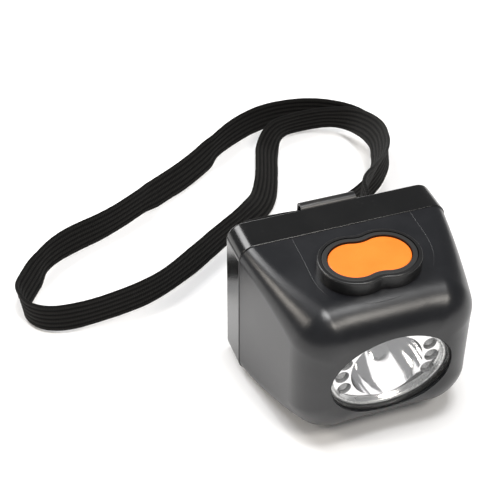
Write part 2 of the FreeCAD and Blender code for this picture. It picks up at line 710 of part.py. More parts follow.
case = box("switch_case", 12, 12, 4, 0, -s.key_depth - 6, s.switch_board_top)
case_bore = cylinder("switch_bore", 2.0, 6, 0, -s.key_depth, s.switch_board_top + 1)
piece("switch_body", cut("switch_body", case, case_bore))
PLUNGER_FOOT = s.switch_board_top + 2
piece("switch_plunger", cylinder("switch_plunger", 1.7, STEM_END - 0.05 - PLUNGER_FOOT, 0,
                                 -s.key_depth, PLUNGER_FOOT))

switch_board = box("switch_board_plate", s.switch_board_half * 2, 18, s.board_thick, 0,
                   -s.key_depth - 9, s.switch_board_top - s.board_thick)
board_holes = [cylinder(f"switch_board_hole_{i}", 1.0, 4, side * s.post_across, -s.key_depth,
                        s.switch_board_top - 3) for i, side in enumerate((-1, 1))]
piece("switch_board", cut("switch_board", switch_board, *board_holes))
DOWNWARD = Rotation(Vector(1, 0, 0), 180)
piece("switch_board_screws", group("switch_board_screws", *(
    screw(f"switch_screw_{i}", side * s.post_across, -s.key_depth, s.switch_board_top + 3.2,
          sized(0.8), sized(6.2), sized(1.7), sized(1.3), DOWNWARD)
    for i, side in enumerate((-1, 1)))))

# ---------------------------------------------------------------- battery and control board

piece("battery_cell", cylinder("battery_cell", s.cell_radius, s.cell_length,
                               -s.cell_length / 2, -s.cell_depth, s.cell_height, ALONG_X))
CRADLE_FRONT = s.cell_depth + s.cell_radius + 0.9
tray = box("cradle_block", 62, CRADLE_FRONT - s.cover_wall, s.cell_height - 5.4, 0,
           -CRADLE_FRONT, 4.4)
trough = cylinder("cradle_trough", s.cell_radius + 0.15, 80, -40, -s.cell_depth, s.cell_height,
                  ALONG_X)
piece("battery_cradle", cut("battery_cradle", tray, trough))
for side, word in ((-1, "negative"), (1, "positive")):
    tab = box(f"tab_{word}", 0.2, 9, 12, side * (s.cell_length / 2 + 0.1), -s.cell_depth - 4.5,
              s.cell_height - 6)
    piece(f"battery_tab_{word}", tab)

BOARD_REAR = sized(5.4)
control = box("control_plate", 60, s.board_thick, 24, 0, -BOARD_REAR - s.board_thick, 30)
control_holes = [cylinder(f"control_hole_{i}", 1.0, 5, x, -8.5, z, ALONG_Y)
                 for i, (x, z) in enumerate(board_places)]
piece("control_board", cut("control_board", control, *control_holes))
FORWARD = Rotation(Vector(1, 0, 0), 90)
piece("control_board_screws", group("control_board_screws", *(
    screw(f"board_screw_{i}", x, -3.3, z, sized(0.8), sized(5.0), sized(1.7), sized(1.3), FORWARD)
    for i, (x, z) in enumerate(board_places))))
FACE = -BOARD_REAR - s.board_thick
piece("charge_chip", box("charge_chip", 6, 1.4, 5, -14, FACE - 1.4, 44))
piece("driver_chip", box("driver_chip", 5, 1.4, 5, 4, FACE - 1.4, 44))
piece("driver_coil", cylinder("driver_coil", 4.0, 3.5, 14, FACE - 3.5, 38, ALONG_Y))


def contact(name, x, z):
    """A flush charging stud with a flange in the cover's rear face."""
    return fuse(name, cylinder(name + "_pin", 1.95, 4.3, x, -4.5, z, ALONG_Y),
                cylinder(name + "_flange", 2.95, 0.8, x, -0.95, z, ALONG_Y))


piece("charging_contacts", group("charging_contacts", *(
    contact(f"contact_{i}", x, z) for i, (x, z) in enumerate(contact_places))))


# ---------------------------------------------------------------- wires and headband

def rounded_path(points):
    """Straight runs joined by tangent arcs as large as the runs on both sides allow."""
    corners = [Vector(*point) for point in points]
    edges, radii, start = [], [], corners[0]
    for before, here, after in zip(corners, corners[1:], corners[2:]):
        arriving, leaving = (here - before), (after - here)
        run = min(arriving.Length, leaving.Length)
        turn = arriving.getAngle(leaving)
        cut_back = 0.45 * run
        radii.append(cut_back / math.tan(turn / 2))
        entry = here - arriving.normalize() * cut_back
        exit_ = here + leaving.normalize() * cut_back
        inward = (entry + exit_) * 0.5 - here
        middle_off = radii[-1] / math.cos(turn / 2) - radii[-1]
        middle = here + inward.normalize() * middle_off
        edges.append(Part.LineSegment(start, entry).toShape())
        edges.append(Part.Arc(entry, middle, exit_).toShape())
        start = exit_
    edges.append(Part.LineSegment(start, corners[-1]).toShape())
    return Part.Wire(edges), radii


def tube(name, points, radius):
    """A round tube along the rounded path; its volume is compared with section times length."""
    path, radii = rounded_path(points)
    first = path.Edges[0]
    direction = first.tangentAt(first.FirstParameter)
    section = Part.Wire([Part.makeCircle(radius, Vector(*points[0]), direction)])
    shape = path.makePipeShell([section], True, False)
    feature = DOC.addObject("Part::Feature", name)
    feature.Shape = shape
    expected = math.pi * radius ** 2 * path.Length
    print(f"{name}: length {path.Length:.1f} mm, volume share {shape.Volume / expected:.3f}, "
          f"radii {[round(r, 1) for r in radii]}")
    return feature


def battery_lead(side):
    """From the tab at one end of the cell, up beside it to the control board's face."""
    return [(side * x, y, z) for x, y, z in (
        (32.7, -13.6, 17.0), (34.3, -13.6, 17.0), (34.5, -13.4, 20.5), (33.5, -12.6, 26.5),
        (30.0, -11.4, 32.5), (25.0, -11.0, 37.0), (21.0, -10.6, 41.0), (21.0, -7.0, 41.0))]


WIRES = {
    "battery_lead_positive": battery_lead(1),
    "battery_lead_negative": battery_lead(-1),
    "main_led_lead": [(0.0, -7.0, 44.5), (0.0, -10.5, 44.5), (0.4, -15.5, 46.8),
                      (1.2, -22.5, 47.6), (1.7, -29.5, 47.0), (1.4, -34.8, 46.3),
                      (1.0, -37.0, 43.6), (1.0, -37.0, 38.9)],
    "switch_lead": [(-8.0, -7.0, 51.5), (-8.0, -10.5, 51.5), (-8.6, -15.5, 49.9),
                    (-9.6, -20.5, 49.7), (-10.0, -23.8, 51.2), (-10.0, -26.6, 51.2)],
}
for wire_name, wire_points in WIRES.items():
    piece(wire_name, tube(wire_name, wire_points, 0.65))

# ---------------------------------------------------------------- cap clip

clip_x = s.clip_half_width * 2
BEND = s.clip_depth / 2
base_plate = box("clip_base_plate", clip_x, s.clip_thick, s.clip_top - BEND - s.clip_base_low, 0,
                 0, s.clip_base_low)
bend_outer = cylinder("clip_bend_outer", BEND, clip_x, -s.clip_half_width, BEND,
                      s.clip_top - BEND, ALONG_X)
bend_inner = cylinder("clip_bend_inner", BEND - s.clip_thick, 40, -20, BEND, s.clip_top - BEND,
                      ALONG_X)
below_bend = box("clip_below_bend", 60, 12, 10, 0, -2, s.clip_top - BEND - 10)
bend_half = cut("clip_bend_half", bend_outer, bend_inner, below_bend)
clip_rivet_holes = [cylinder(f"clip_rivet_hole_{i}", 1.25, 6, x, -2, z, ALONG_Y)
                    for i, (x, z) in enumerate(rivet_places)]
piece("clip_bracket", cut("clip_bracket", fuse("clip_bracket_solid", base_plate, bend_half),
                          *clip_rivet_holes))


def rivet(name, x, z):
    return fuse(name, cylinder(name + "_shank", 1.2, 5.3, x, -3.7, z, ALONG_Y),
                cylinder(name + "_outer_head", 2.4, 0.7, x, s.clip_thick, z, ALONG_Y),
                cylinder(name + "_inner_head", 2.4, 0.7, x, -3.7, z, ALONG_Y))


piece("clip_rivets", group("clip_rivets", *(
    rivet(f"clip_rivet_{i}", x, z) for i, (x, z) in enumerate(rivet_places))))

HINGE_HEIGHT = s.clip_top - BEND - 0.1
tongue = new_body("clip_tongue")
tongue_sketch = rounded_rectangle(tongue, "tongue_outline", -s.clip_depth, s.clip_half_width,
                                  s.clip_low, HINGE_HEIGHT + 4, sized(3.5))
pad(tongue, "tongue_pad", tongue_sketch, s.clip_thick)
tongue_top = box("tongue_top_cut", 40, 10, 10, 0, 0, HINGE_HEIGHT)
tongue.Label = "tongue_blank"
piece("clip_tongue", cut("clip_tongue", tongue, tongue_top))

# ---------------------------------------------------------------- elastic headband

piece("band_in_clip", box("band_in_clip", s.band_half_in_clip * 2, s.band_thick, s.band_width, 0,
                          s.band_depth - s.band_thick / 2, s.band_height - s.band_width / 2))

# The loose loop, from the clip's right-hand side round to its left-hand side. It comes down
# slowly from the clip, folds back beside itself, goes out to the left, turns round there,
# returns outside its first stretch and climbs to the clip again from behind the lamp.
BAND_ROUTE = [
    (11.5, 2.65, 50.5), (14.0, 2.65, 50.5), (16.3, 3.7, 50.6), (17.9, 5.6, 50.7),
    (18.6, 8.4, 50.9), (19.4, 13.5, 50.6), (23.2, 20.0, 49.0), (29.8, 28.0, 45.3),
    (38.0, 41.0, 39.0), (47.0, 55.0, 32.5), (54.0, 70.0, 26.2), (60.0, 85.0, 20.0),
    (62.0, 100.5, 14.8), (58.8, 114.5, 10.4), (49.0, 122.8, 8.0), (36.5, 124.8, 6.4),
    (25.0, 121.5, 5.8), (17.5, 112.5, 4.6), (13.0, 99.5, 3.5), (7.0, 84.0, 3.5),
    (0.0, 73.0, 4.8), (-10.5, 65.0, 6.0), (-24.0, 56.5, 6.0), (-41.0, 44.5, 6.0),
    (-58.0, 34.5, 6.0), (-77.0, 30.3, 6.0), (-93.5, 29.0, 6.0), (-104.0, 31.5, 6.0),
    (-110.0, 38.5, 6.0), (-110.0, 47.5, 6.0), (-104.0, 56.5, 6.0), (-96.0, 67.5, 6.0),
    (-84.5, 74.8, 6.0), (-65.0, 80.8, 6.0), (-43.5, 93.3, 6.0), (-19.5, 106.5, 6.0),
    (2.0, 125.0, 6.0), (23.0, 134.8, 6.0), (44.5, 133.8, 6.0), (62.0, 124.0, 6.0),
    (70.8, 107.0, 6.0), (68.8, 89.5, 6.0), (57.5, 74.5, 6.0), (44.0, 63.5, 6.5),
    (28.0, 54.0, 8.5), (11.0, 46.5, 13.5), (-4.0, 40.0, 20.0), (-18.0, 31.5, 27.5),
    (-26.5, 21.5, 35.0), (-28.5, 12.5, 41.0), (-25.0, 6.2, 46.0), (-20.0, 3.3, 49.0),
    (-15.5, 2.65, 50.5), (-11.5, 2.65, 50.5),
]
piece("headband", tube("headband", BAND_ROUTE, s.band_round.number / 2))

# ---------------------------------------------------------------- check and write

DOC.recompute()
for document_object in DOC.Objects:
    if {"Invalid", "Error"} & set(document_object.State):
        raise RuntimeError(f"{document_object.Name} failed: {document_object.State}")
os.makedirs("parts", exist_ok=True)
for sub_part in PIECES:
    shape = sub_part.Shape
    if shape.isNull() or not shape.isValid() or shape.Volume <= 0:
        raise RuntimeError(f"{sub_part.Label} has no valid solid")
    shape.exportStep(os.path.join("parts", sub_part.Label + ".step"))
print(len(PIECES), "sub-parts written")
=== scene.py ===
"""Looks of a cordless miner's cap lamp and its elastic headband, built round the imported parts."""
import json
import math

import bpy
from mathutils import Matrix, Vector, noise


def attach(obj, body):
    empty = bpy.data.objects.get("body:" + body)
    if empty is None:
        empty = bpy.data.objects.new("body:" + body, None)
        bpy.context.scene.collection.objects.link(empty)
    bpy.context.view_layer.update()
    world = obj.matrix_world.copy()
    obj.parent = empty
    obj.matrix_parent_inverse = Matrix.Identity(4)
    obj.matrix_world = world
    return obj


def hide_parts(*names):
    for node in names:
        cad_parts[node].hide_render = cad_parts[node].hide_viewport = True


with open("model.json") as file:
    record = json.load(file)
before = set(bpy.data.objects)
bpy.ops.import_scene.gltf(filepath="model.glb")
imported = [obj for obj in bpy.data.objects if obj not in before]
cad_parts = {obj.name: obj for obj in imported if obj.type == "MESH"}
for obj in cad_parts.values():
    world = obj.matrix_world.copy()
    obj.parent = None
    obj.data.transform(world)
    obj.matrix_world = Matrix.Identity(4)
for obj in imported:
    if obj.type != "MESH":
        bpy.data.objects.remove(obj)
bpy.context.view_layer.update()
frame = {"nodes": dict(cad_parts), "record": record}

SCENE = bpy.context.scene
NODES = frame["nodes"]
MM = 0.001


def link(data, name):
    """Put a new object with this data in the scene."""
    thing = bpy.data.objects.new(name, data)
    SCENE.collection.objects.link(thing)
    return thing


# ---------------------------------------------------------------- camera

def set_camera():
    azimuth, elevation, roll = (math.radians(angle) for angle in (-19.88, 40.44, 0.44))
    target = Vector((-0.03994, 0.00226, 0.0699))
    distance = 0.42773
    away = Vector((math.sin(azimuth) * math.cos(elevation),
                   -math.cos(azimuth) * math.cos(elevation), math.sin(elevation)))
    lens = bpy.data.cameras.new("camera")
    lens.sensor_width = 36.0
    lens.lens = 91.48
    lens.clip_start = 0.01
    camera = link(lens, "camera")
    turn = (Matrix.Rotation(azimuth, 4, "Z") @ Matrix.Rotation(math.pi / 2 - elevation, 4, "X")
            @ Matrix.Rotation(roll, 4, "Z"))
    camera.matrix_world = Matrix.Translation(target + away * distance) @ turn
    SCENE.camera = camera


set_camera()

# ---------------------------------------------------------------- elastic headband

# The middle line of the band, from the clip's right-hand side round to its left-hand side.
HEADBAND_ROUTE = [
    (0.0115, 0.0303, 0.0505), (0.014, 0.0303, 0.0505), (0.0163, 0.03135, 0.0506),
    (0.0179, 0.03325, 0.0507), (0.0186, 0.03605, 0.0509), (0.0194, 0.04115, 0.0506),
    (0.0232, 0.04765, 0.049), (0.0298, 0.05565, 0.0453), (0.038, 0.06865, 0.039),
    (0.047, 0.08265, 0.0325), (0.054, 0.09765, 0.0262), (0.06, 0.11265, 0.02),
    (0.062, 0.12815, 0.0148), (0.0588, 0.14215, 0.0104), (0.049, 0.15045, 0.008),
    (0.0365, 0.15245, 0.0064), (0.025, 0.14915, 0.0058), (0.0175, 0.14015, 0.0046),
    (0.013, 0.12715, 0.0035), (0.007, 0.11165, 0.0035), (0.0, 0.10065, 0.0048),
    (-0.0105, 0.09265, 0.006), (-0.024, 0.08415, 0.006), (-0.041, 0.07215, 0.006),
    (-0.058, 0.06215, 0.006), (-0.077, 0.05795, 0.006), (-0.0935, 0.05665, 0.006),
    (-0.104, 0.05915, 0.006), (-0.11, 0.06615, 0.006), (-0.11, 0.07515, 0.006),
    (-0.104, 0.08415, 0.006), (-0.096, 0.09515, 0.006), (-0.0845, 0.10245, 0.006),
    (-0.065, 0.10845, 0.006), (-0.0435, 0.12095, 0.006), (-0.0195, 0.13415, 0.006),
    (0.002, 0.15265, 0.006), (0.023, 0.16245, 0.006), (0.0445, 0.16145, 0.006),
    (0.062, 0.15165, 0.006), (0.0708, 0.13465, 0.006), (0.0688, 0.11715, 0.006),
    (0.0575, 0.10215, 0.006), (0.044, 0.09115, 0.0065), (0.028, 0.08165, 0.0085),
    (0.011, 0.07415, 0.0135), (-0.004, 0.06765, 0.02), (-0.018, 0.05915, 0.0275),
    (-0.0265, 0.04915, 0.035), (-0.0285, 0.04015, 0.041), (-0.025, 0.03385, 0.046),
    (-0.02, 0.03095, 0.049), (-0.0155, 0.0303, 0.0505), (-0.0115, 0.0303, 0.0505),
]
BAND_WIDTH = 12.0 * MM
BAND_THICK = 1.5 * MM
BAND_RIBS = 6
RIB_STEPS = 6
GROOVE_THICK = 0.52      # thickness in the grooves, as a share of that on the ribs
EDGE_FROM = 0.94         # where the edges start to thin, as a share of the half width
EDGE_THINNING = 0.55
WEAVE_UNITS = 100        # the weave map is in centimetres
STITCH_WIDTH, STITCH_LENGTH = 1.0 * MM, 0.9 * MM

# The band lies on the table between these two route points, and eases onto and off it beside them.
LAID_FROM, LAID_TO = 15.5, 42.5
LAID_EASE = 2

# How far the band's upper edge leans to the right of its run, in degrees, by route point.
BAND_LEAN = [
    (0, 0), (4.5, 0), (9.5, 38), (11, 38), (13.5, -6), (15.0, -6), (17.0, 57), (19.0, 60),
    (21.5, 15), (26, 6), (28.3, -6), (29.6, -26), (30.2, -26), (31.0, -8), (33.0, -15), (33.9, -11),
    (34.25, -30), (35.5, -30), (35.85, -10), (37, -14), (40, 0), (42, 12), (44, 8), (47, 0), (53, 0),
]


def headband_line():
    """The smooth line of the band, read from a spline with the route as control points."""
    data = bpy.data.curves.new("headband_line", "CURVE")
    data.dimensions = "3D"
    data.resolution_u = 14
    spline = data.splines.new("NURBS")
    spline.points.add(len(HEADBAND_ROUTE) - 1)
    for point, place in zip(spline.points, HEADBAND_ROUTE):
        point.co = (*place, 1.0)
    spline.order_u = 3
    spline.use_endpoint_u = True
    guide = link(data, "headband_line")
    mesh = bpy.data.meshes.new_from_object(guide)
    points = [vertex.co.copy() for vertex in mesh.vertices]
    bpy.data.objects.remove(guide)
    bpy.data.meshes.remove(mesh)
    return points


def smooth_step(low, high, value):
    share = min(max((value - low) / (high - low), 0.0), 1.0)
    return share * share * (3 - 2 * share)


def lean_at(place):
    for (low, first), (high, second) in zip(BAND_LEAN, BAND_LEAN[1:]):
        if place <= high:
            return first + (second - first) * smooth_step(low, high, place)
    return BAND_LEAN[-1][1]


def band_section():
    """Points round the band's section: across it from -1 to 1 and out from its middle plane."""
    steps = BAND_RIBS * RIB_STEPS
    face = []
    for step in range(steps + 1):
        across = -1 + 2 * step / steps
        rib = abs(math.sin(math.pi * BAND_RIBS * (across + 1) / 2))
        edge = 1 - max(abs(across) - EDGE_FROM, 0.0) / (1 - EDGE_FROM) * EDGE_THINNING
        face.append((across, (GROOVE_THICK + (1 - GROOVE_THICK) * rib ** 0.7) * edge))
    return face + [(across, -out) for across, out in reversed(face)]


def woven_band(name, places, wides, normals):
    """A ribbed flat band swept along places, with its face across wides and out normals."""
    section = band_section()
    count = len(section)
    vertices, faces, marks = [], [], []
    run = 0.0
    for index, (place, wide, normal) in enumerate(zip(places, wides, normals)):
        if index:
            run += (place - places[index - 1]).length
        ruffle = 1 + 0.035 * noise.noise(place * 90) - 0.02 * abs(noise.noise(place * 300))
        for across, out in section:
            vertices.append(place + wide * (across * ruffle * BAND_WIDTH / 2)
                            + normal * (out * BAND_THICK / 2))
            marks.append((across * BAND_WIDTH / 2, run))
    for ring in range(len(places) - 1):
        for side in range(count):
            following = (side + 1) % count
            faces.append((ring * count + side, ring * count + following,
                          (ring + 1) * count + following, (ring + 1) * count + side))
    faces.append(tuple(reversed(range(count))))
    faces.append(tuple((len(places) - 1) * count + side for side in range(count)))
    mesh = bpy.data.meshes.new(name)
    mesh.from_pydata(vertices, [], faces)
    mesh.validate()
    layer = mesh.uv_layers.new(name="weave")
    for loop in mesh.loops:
        across, along = marks[loop.vertex_index]
        layer.data[loop.index].uv = (across * WEAVE_UNITS, along * WEAVE_UNITS)
    mesh.polygons.foreach_set("use_smooth", [True] * len(mesh.polygons))
    return link(mesh, name)


def make_headband():
    """The loop of band: its mesh, its middle line as laid and the length of that line."""
    line = headband_line()
    last = len(line) - 1
    places, wides, normals = [], [], []
    for index, point in enumerate(line):
        route_place = index / last * (len(HEADBAND_ROUTE) - 1)
        ahead = (line[min(index + 1, last)] - line[max(index - 1, 0)]).normalized()
        upward = (Vector((0, 0, 1)) - ahead * ahead.z).normalized()
        rightward = ahead.cross(upward)
        lean = math.radians(lean_at(route_place) + 5 * noise.noise(point * 55))
        wide = upward * math.cos(lean) + rightward * math.sin(lean)
        place = point.copy()
        laid = smooth_step(LAID_FROM - LAID_EASE, LAID_FROM, route_place)
        laid *= 1 - smooth_step(LAID_TO, LAID_TO + LAID_EASE, route_place)
        resting = abs(wide.z) * BAND_WIDTH / 2 + BAND_THICK / 2 + 0.1 * MM
        place.z += (resting - place.z) * laid
        places.append(place)
        wides.append(wide)
        normals.append(wide.cross(ahead))
    band = woven_band("headband_loop", places, wides, normals)
    length = sum((b - a).length for a, b in zip(places, places[1:]))
    return band, places, length


def make_clip_run():
    """The stretch of the band that lies in the clip, between the loop's two ends."""
    start, end = Vector(HEADBAND_ROUTE[-1]), Vector(HEADBAND_ROUTE[0])
    steps = 16
    places = [start.lerp(end, step / steps) for step in range(steps + 1)]
    wides = [Vector((0, 0, 1))] * len(places)
    normals = [Vector((0, -1, 0))] * len(places)
    return woven_band("headband_in_clip", places, wides, normals)


headband, headband_places, headband_length = make_headband()
clip_run = make_clip_run()
for part, node in ((headband, "headband"), (clip_run, "band_in_clip")):
    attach(part, "lamp")
    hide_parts(node)

# ---------------------------------------------------------------- moulding line on the panel

# The faint raised line round the key, left by the mould's insert, as (x, y) from rear to rear.
INSERT_LINE = [
    (-0.0203, 0.0130), (-0.0203, 0.0070), (-0.0204, -0.0020), (-0.0212, -0.0110), (-0.0180, -0.0200),
    (-0.0095, -0.0240), (-0.0005, -0.0245), (0.0095, -0.0235), (0.0195, -0.0180), (0.0245, -0.0095),
    (0.0258, -0.0010), (0.0255, 0.0070), (0.0254, 0.0130),
]
SCRATCH_LINE = [(-0.0279, 0.0122), (-0.0266, 0.0126), (-0.0253, 0.0129)]
ABOVE_PANEL = 0.1


def laid_on_panel(name, line, radius, sunk):
    """A fine thread that follows the housing's top, sunk a little into it."""
    shell = NODES["front_housing"]
    into = shell.matrix_world.inverted()
    down = into.to_3x3() @ Vector((0, 0, -1))
    data = bpy.data.curves.new(name, "CURVE")
    data.dimensions = "3D"
    data.bevel_depth = radius
    data.bevel_resolution = 2
    data.resolution_u = 10
    data.use_fill_caps = True
    spline = data.splines.new("NURBS")
    spline.points.add(len(line) - 1)
    for point, (x, y) in zip(spline.points, line):
        _, place, _, _ = shell.ray_cast(into @ Vector((x, y, ABOVE_PANEL)), down)
        point.co = (x, y, (shell.matrix_world @ place).z - sunk, 1.0)
    spline.order_u = 4
    spline.use_endpoint_u = True
    guide = link(data, name + "_guide")
    thread = link(bpy.data.meshes.new_from_object(guide), name)
    bpy.data.objects.remove(guide)
    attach(thread, "lamp")
    return thread


insert_line = laid_on_panel("insert_line", INSERT_LINE, 0.16 * MM, 0.09 * MM)
scratch_line = laid_on_panel("scratch_line", SCRATCH_LINE, 0.14 * MM, 0.08 * MM)

# ---------------------------------------------------------------- shader node groups

def new_group(name, inputs, outputs):
    """An empty node group with named sockets; returns its tree, its input and output nodes."""
    tree = bpy.data.node_groups.new(name, "ShaderNodeTree")
    for title, kind, value in inputs:
        socket = tree.interface.new_socket(name=title, in_out="INPUT", socket_type=kind)
        socket.default_value = value
    for title, kind in outputs:
        tree.interface.new_socket(name=title, in_out="OUTPUT", socket_type=kind)
    return tree, tree.nodes.new("NodeGroupInput"), tree.nodes.new("NodeGroupOutput")


def join(tree, source, target):
    tree.links.new(source, target)


def maths(tree, operation, first, second=None, third=None):
    """A Math node; numbers are set on it and sockets are joined to it."""
    node = tree.nodes.new("ShaderNodeMath")
    node.operation = operation
    for index, value in enumerate((first, second, third)):
        if value is None:
            continue
        if isinstance(value, (int, float)):
            node.inputs[index].default_value = value
        else:
            join(tree, value, node.inputs[index])
    return node.outputs[0]


def spots(tree, scale, detail=3.0, stretch=None):
    """Noise in object coordinates, in cells per metre."""
    place = tree.nodes.new("ShaderNodeTexCoord").outputs["Object"]
    if stretch:
        mapping = tree.nodes.new("ShaderNodeMapping")
        mapping.inputs["Scale"].default_value = stretch
        join(tree, place, mapping.inputs["Vector"])
        place = mapping.outputs[0]
    node = tree.nodes.new("ShaderNodeTexNoise")
    node.inputs["Detail"].default_value = detail
    node.inputs["Roughness"].default_value = 0.55
    join(tree, place, node.inputs["Vector"])
    if isinstance(scale, (int, float)):
        node.inputs["Scale"].default_value = scale
    else:
        join(tree, scale, node.inputs["Scale"])
    return node.outputs["Fac"]


def spread(tree, value, low, high, start=0.0, end=1.0):
    """Map a value's range from low..high onto start..end."""
    node = tree.nodes.new("ShaderNodeMapRange")
    join(tree, value, node.inputs["Value"])
    for title, number in zip(("From Min", "From Max", "To Min", "To Max"), (low, high, start, end)):
        node.inputs[title].default_value = number
    return node.outputs[0]


def mixed(tree, share, first, second):
    """A colour between two colours or sockets."""
    node = tree.nodes.new("ShaderNodeMix")
    node.data_type = "RGBA"
    sockets = (node.inputs["Factor"], node.inputs[6], node.inputs[7])
    for socket, value in zip(sockets, (share, first, second)):
        if isinstance(value, tuple):
            socket.default_value = (*value, 1.0)
        elif isinstance(value, (int, float)):
            socket.default_value = value
        else:
            join(tree, value, socket)
    return node.outputs[2]


def moulded_plastic_group():
    """Fine moulding grain, handling smears and dust for the lamp's plastics."""
    tree, given, result = new_group(
        "moulded plastic surface",
        [("Colour", "NodeSocketColor", (0.02, 0.02, 0.02, 1)),
         ("Smear", "NodeSocketColor", (0.06, 0.06, 0.06, 1)),
         ("Smear Share", "NodeSocketFloat", 0.3), ("Roughness", "NodeSocketFloat", 0.35),
         ("Roughness Change", "NodeSocketFloat", 0.12), ("Grain", "NodeSocketFloat", 2500.0)],
        [("Colour", "NodeSocketColor"), ("Roughness", "NodeSocketFloat"), ("Height", "NodeSocketFloat")])
    broad = spots(tree, 55.0, 4.0)
    patches = spread(tree, broad, 0.45, 0.72)
    flecks = spread(tree, spots(tree, 1400.0, 2.0), 0.70, 0.76)
    share = maths(tree, "MULTIPLY", patches, given.outputs["Smear Share"])
    colour = mixed(tree, share, given.outputs["Colour"], given.outputs["Smear"])
    dusted = mixed(tree, maths(tree, "MULTIPLY", flecks, 0.05), colour, (0.30, 0.30, 0.30))
    change = maths(tree, "MULTIPLY", maths(tree, "SUBTRACT", broad, 0.5), given.outputs["Roughness Change"])
    fine = spots(tree, given.outputs["Grain"], 2.0)
    join(tree, dusted, result.inputs["Colour"])
    join(tree, maths(tree, "ADD", given.outputs["Roughness"], change), result.inputs["Roughness"])
    join(tree, fine, result.inputs["Height"])
    return tree


def worn_metal_group():
    """Brushing along X, tarnished patches and uneven gloss for the metal pieces."""
    tree, given, result = new_group(
        "worn metal surface",
        [("Colour", "NodeSocketColor", (0.6, 0.6, 0.6, 1)),
         ("Tarnish", "NodeSocketColor", (0.3, 0.28, 0.25, 1)),
         ("Tarnish Share", "NodeSocketFloat", 0.3), ("Roughness", "NodeSocketFloat", 0.3)],
        [("Colour", "NodeSocketColor"), ("Roughness", "NodeSocketFloat"), ("Height", "NodeSocketFloat")])
    brushed = spots(tree, 300.0, 3.0, stretch=(0.15, 6.0, 6.0))
    patches = spread(tree, spots(tree, 120.0, 4.0), 0.48, 0.70)
    share = maths(tree, "MULTIPLY", patches, given.outputs["Tarnish Share"])
    colour = mixed(tree, share, given.outputs["Colour"], given.outputs["Tarnish"])
    join(tree, colour, result.inputs["Colour"])
    uneven = maths(tree, "MULTIPLY", maths(tree, "SUBTRACT", brushed, 0.5), 0.25)
    join(tree, maths(tree, "ADD", given.outputs["Roughness"], uneven), result.inputs["Roughness"])
    join(tree, brushed, result.inputs["Height"])
    return tree


def board_tracks_group():
    """Fine tracks and pads under the solder mask of the circuit boards."""
    tree, given, result = new_group(
        "circuit board tracks",
        [("Mask", "NodeSocketColor", (0.02, 0.12, 0.05, 1)),
         ("Track", "NodeSocketColor", (0.30, 0.34, 0.16, 1))],
        [("Colour", "NodeSocketColor"), ("Height", "NodeSocketFloat")])
    place = tree.nodes.new("ShaderNodeTexCoord").outputs["Object"]
    bricks = tree.nodes.new("ShaderNodeTexBrick")
    bricks.inputs["Scale"].default_value = 260.0
    bricks.inputs["Mortar Size"].default_value = 0.03
    join(tree, place, bricks.inputs["Vector"])
    share = maths(tree, "MULTIPLY", bricks.outputs["Fac"], spread(tree, spots(tree, 300.0), 0.45, 0.55))
    colour = mixed(tree, share, given.outputs["Mask"], given.outputs["Track"])
    join(tree, colour, result.inputs["Colour"])
    join(tree, share, result.inputs["Height"])
    return tree


PLASTIC = moulded_plastic_group()
METAL = worn_metal_group()
BOARD = board_tracks_group()


# ---------------------------------------------------------------- materials

def new_material(name):
    material = bpy.data.materials.new(name)
    material.use_nodes = True
    tree = material.node_tree
    tree.nodes.clear()
    shader = tree.nodes.new("ShaderNodeBsdfPrincipled")
    output = tree.nodes.new("ShaderNodeOutputMaterial")
    join(tree, shader.outputs[0], output.inputs["Surface"])
    return material, tree, shader


def bumped(tree, shader, height, distance):
    bump = tree.nodes.new("ShaderNodeBump")
    bump.inputs["Strength"].default_value = 1.0
    bump.inputs["Distance"].default_value = distance
    join(tree, height, bump.inputs["Height"])
    join(tree, bump.outputs[0], shader.inputs["Normal"])


def placed_group(tree, group, values):
    """One of the groups above, placed in a material with its own values."""
    node = tree.nodes.new("ShaderNodeGroup")
    node.node_tree = group
    for title, value in values.items():
        node.inputs[title].default_value = (*value, 1.0) if isinstance(value, tuple) else value
    return node


def surfaced(name, group, values, depth, metallic=0.0):
    """A material whose colour, roughness and height come from a group."""
    material, tree, shader = new_material(name)
    node = placed_group(tree, group, values)
    join(tree, node.outputs["Colour"], shader.inputs["Base Color"])
    join(tree, node.outputs["Roughness"], shader.inputs["Roughness"])
    bumped(tree, shader, node.outputs["Height"], depth)
    shader.inputs["Metallic"].default_value = metallic
    return material


def plastic(name, colour, smear, roughness, smear_share=0.3, grain=2500.0, depth=0.00002):
    values = {"Colour": colour, "Smear": smear, "Smear Share": smear_share,
              "Roughness": roughness, "Roughness Change": 0.12, "Grain": grain}
    return surfaced(name, PLASTIC, values, depth)


def metal(name, colour, tarnish, roughness):
    values = {"Colour": colour, "Tarnish": tarnish, "Tarnish Share": 0.3, "Roughness": roughness}
    return surfaced(name, METAL, values, 0.00001, metallic=1.0)


